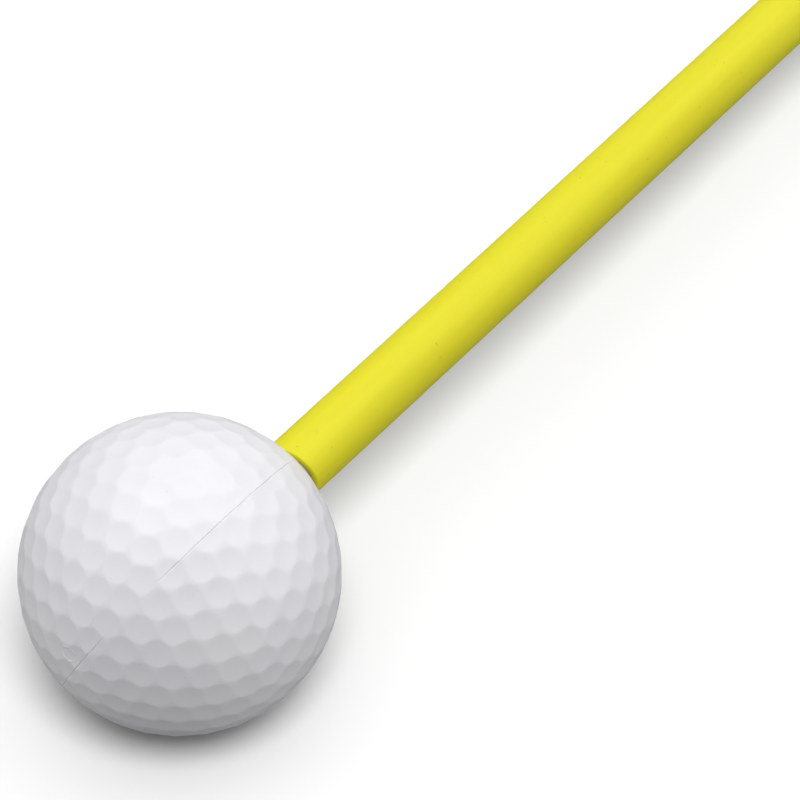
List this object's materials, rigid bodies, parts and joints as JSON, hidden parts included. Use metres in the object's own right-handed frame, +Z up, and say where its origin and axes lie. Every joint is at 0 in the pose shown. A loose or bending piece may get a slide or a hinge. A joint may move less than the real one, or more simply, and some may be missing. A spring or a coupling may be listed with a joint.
{
  "type": "flexible golf swing trainer stick",
  "caption": "Flexible weighted golf swing trainer: dimpled ball head on a springy yellow rod, with a rubber grip and a counterweighted butt.",
  "frame": {"origin": "on the ground below the middle of the stick's length, with the rod's axis one ball radius up", "axes": "+X along the rod from the ball to the butt, +Z up; the shells' parting plane is rolled 27 degrees about X from vertical"},
  "size_m": [1.2, 0.06, 0.06],
  "materials": {
    "ball": "satin white moulded plastic",
    "sleeve": "matte yellow, faintly rubbery",
    "glass_fibre": "pultruded glass fibre",
    "steel": "turned",
    "plated_steel": "zinc plated",
    "foam": "closed-cell foam",
    "black_plastic": "satin",
    "tape": "double-sided paper tape",
    "rubber": "matte moulded rubber"
  },
  "bodies": {
    "handle": {"grip_collar": "black_plastic", "handle_tube": "black_plastic", "grip_tape": "tape", "grip_sleeve": "rubber", "grip_cap": "rubber", "counterweight": "steel", "butt_ferrule": "plated_steel", "butt_washer": "plated_steel", "butt_screw": "steel"},
    "head": {"ball_shell_left": "ball", "ball_shell_right": "ball", "head_weight": "steel", "weight_cushion_front": "foam", "weight_cushion_rear": "foam", "tip_ferrule": "plated_steel", "tip_washer": "plated_steel", "tip_screw": "steel", "rod_core": "glass_fibre", "rod_sleeve": "sleeve"}
  },
  "joints": [
    {"name": "rod_flex", "type": "hinge", "parent": "handle", "child": "head", "pos_m": [0.04, 0, 0.03], "axis": [0, 0, 1], "range_deg": [-15, 15], "stiffness_Nm_per_rad": 24, "deforming": ["rod_core", "rod_sleeve"]}
  ]
}
